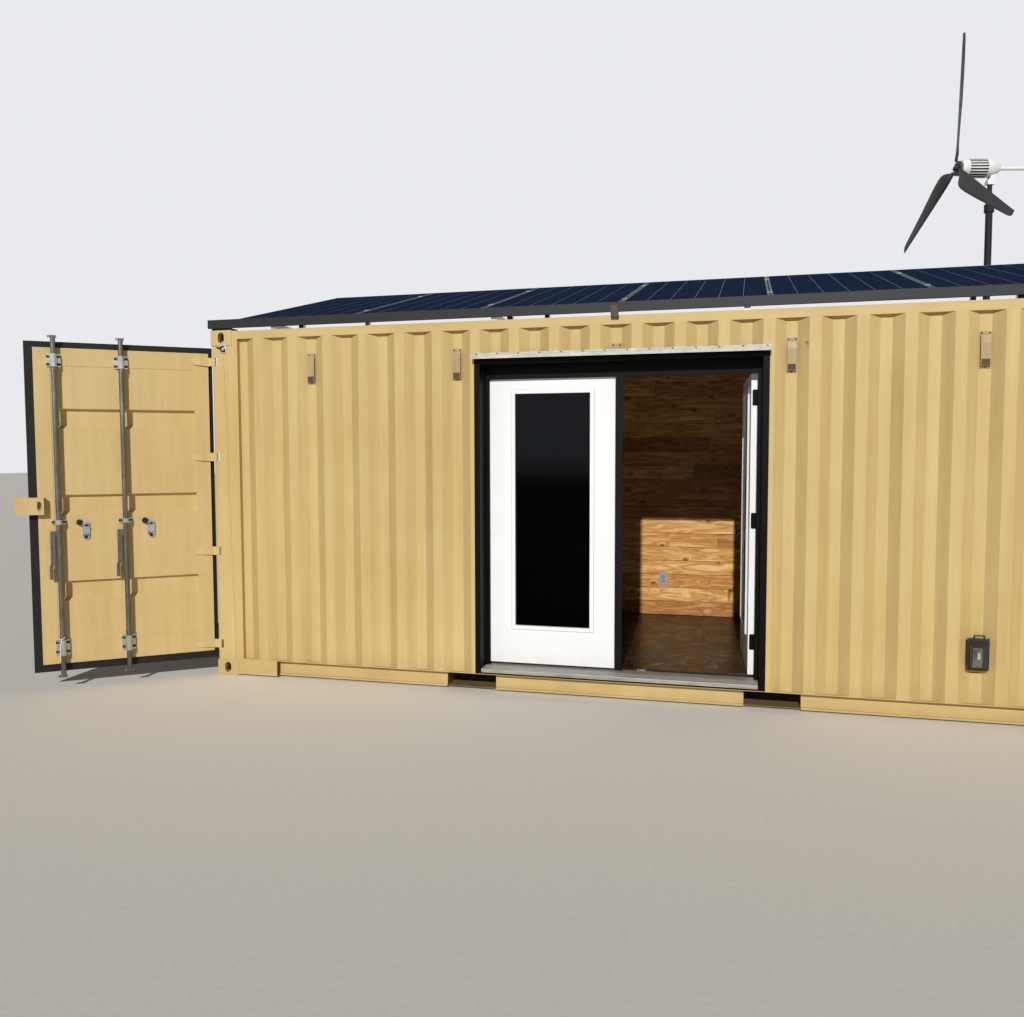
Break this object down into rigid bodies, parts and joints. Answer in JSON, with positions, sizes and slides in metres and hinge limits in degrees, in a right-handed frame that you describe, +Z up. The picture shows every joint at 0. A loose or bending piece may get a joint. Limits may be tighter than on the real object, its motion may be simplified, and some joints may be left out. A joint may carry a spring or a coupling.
{
  "type": "shipping container cabin",
  "caption": "Steel freight container turned into a boarded cabin, with glazed double doors in one long side, cargo doors, a solar panel roof and a small wind turbine.",
  "frame": {"origin": "on the ground, under the bottom corner casting at the front left corner (doorway side, cargo door end), 24 mm in from its two outer faces", "axes": "+X along the container from the cargo door end to the blind end, +Y from the doorway side to the back, +Z up"},
  "size_m": [7.8194, 4.4062, 5.195],
  "materials": {
    "tan_paint": "semi-gloss tan container paint",
    "leaf_white": "satin white paint on a pressed steel skin",
    "frame_black": "satin black paint",
    "white_metal": "folded white-coated flashing",
    "galvanised": "hot-dip galvanised steel",
    "zinc": "bright zinc plate",
    "rubber_black": "extruded rubber seal",
    "pine": "varnished pine boards",
    "floor_dark": "glossy dark floor boards",
    "glass": "clear insulated glass",
    "cell_blue": "glass over dark blue cells",
    "alu_black": "black anodised aluminium",
    "alu_raw": "mill-finish aluminium",
    "threshold_alu": "worn aluminium threshold",
    "white_shell": "white weathered shell",
    "blade_black": "matt black moulded blade",
    "grey_plastic": "grey moulded cover",
    "black_steel": "black painted steel tube"
  },
  "bodies": {
    "cabin": {"corner_castings_bottom": "tan_paint", "corner_castings_top": "tan_paint", "bottom_side_rails": "tan_paint", "top_side_rails": "tan_paint", "end_beams": "tan_paint", "corner_posts": "tan_paint", "floor_joists": "tan_paint", "fork_pockets": "tan_paint", "floor": "floor_dark", "front_wall_left": "tan_paint", "front_wall_right": "tan_paint", "front_wall_over_door": "tan_paint", "back_wall": "tan_paint", "end_wall": "tan_paint", "roof_sheet": "tan_paint", "wall_vents": "tan_paint", "doorway_frame": "frame_black", "door_jambs": "frame_black", "drip_cap": "white_metal", "threshold": "threshold_alu", "far_leaf_panel": "tan_paint", "far_leaf_seal": "rubber_black", "far_leaf_lock_gear": "galvanised", "hinge_lugs": "tan_paint", "cam_keepers": "tan_paint", "back_lining": "pine", "front_lining_left": "pine", "front_lining_right": "pine", "front_lining_over_door": "pine", "end_lining": "pine", "ceiling_lining": "pine", "room_outlet": "grey_plastic", "outdoor_outlet": "grey_plastic", "panel_frames": "alu_black", "panel_glass": "cell_blue", "array_rack": "alu_raw", "fascia_beam": "alu_black", "mast": "black_steel"},
    "near_cargo_leaf": {"near_leaf_panel": "tan_paint", "near_leaf_seal": "rubber_black", "near_leaf_hinge_blades": "tan_paint", "near_leaf_rod_brackets": "zinc", "lock_box": "tan_paint"},
    "outer_rod": {"outer_lock_rod": "galvanised"},
    "inner_rod": {"inner_lock_rod": "galvanised"},
    "left_leaf": {"left_leaf_slab": "leaf_white", "left_leaf_lite_frame": "leaf_white", "left_leaf_glass": "glass", "left_leaf_hinges": "frame_black", "astragal": "frame_black"},
    "right_leaf": {"right_leaf_slab": "leaf_white", "right_leaf_lite_frame": "leaf_white", "right_leaf_glass": "glass", "right_leaf_hinges": "frame_black", "right_leaf_lever": "frame_black"},
    "turbine_head": {"nacelle": "white_shell", "tail": "white_shell"},
    "rotor": {"rotor_hub": "black_steel", "turbine_blades": "blade_black"}
  },
  "joints": [
    {"name": "near_cargo_leaf_hinge", "type": "hinge", "parent": "cabin", "child": "near_cargo_leaf", "pos_m": [-0.005, -0.008, 1.25], "axis": [0, 0, 1], "range_deg": [-129, 136]},
    {"name": "outer_rod_turn", "type": "hinge", "parent": "near_cargo_leaf", "child": "outer_rod", "pos_m": [-0.83888, -0.68326, 1.25], "axis": [0, 0, 1], "range_deg": [0, 180]},
    {"name": "inner_rod_turn", "type": "hinge", "parent": "near_cargo_leaf", "child": "inner_rod", "pos_m": [-0.50237, -0.41076, 1.25], "axis": [0, 0, 1], "range_deg": [0, 180]},
    {"name": "left_leaf_hinge", "type": "hinge", "parent": "cabin", "child": "left_leaf", "pos_m": [2.0865, 0.185, 1.222], "axis": [0, 0, 1], "range_deg": [0, 110]},
    {"name": "right_leaf_hinge", "type": "hinge", "parent": "cabin", "child": "right_leaf", "pos_m": [3.9235, 0.185, 1.222], "axis": [0, 0, -1], "range_deg": [-86.5, 23.5]},
    {"name": "turbine_yaw", "type": "hinge", "parent": "cabin", "child": "turbine_head", "pos_m": [5.832, 2.655, 4], "axis": [0, 0, 1], "continuous": true},
    {"name": "rotor_spin", "type": "hinge", "parent": "turbine_head", "child": "rotor", "pos_m": [5.55439, 2.58217, 4.095], "axis": [-0.9673, -0.2538, 0], "continuous": true}
  ]
}
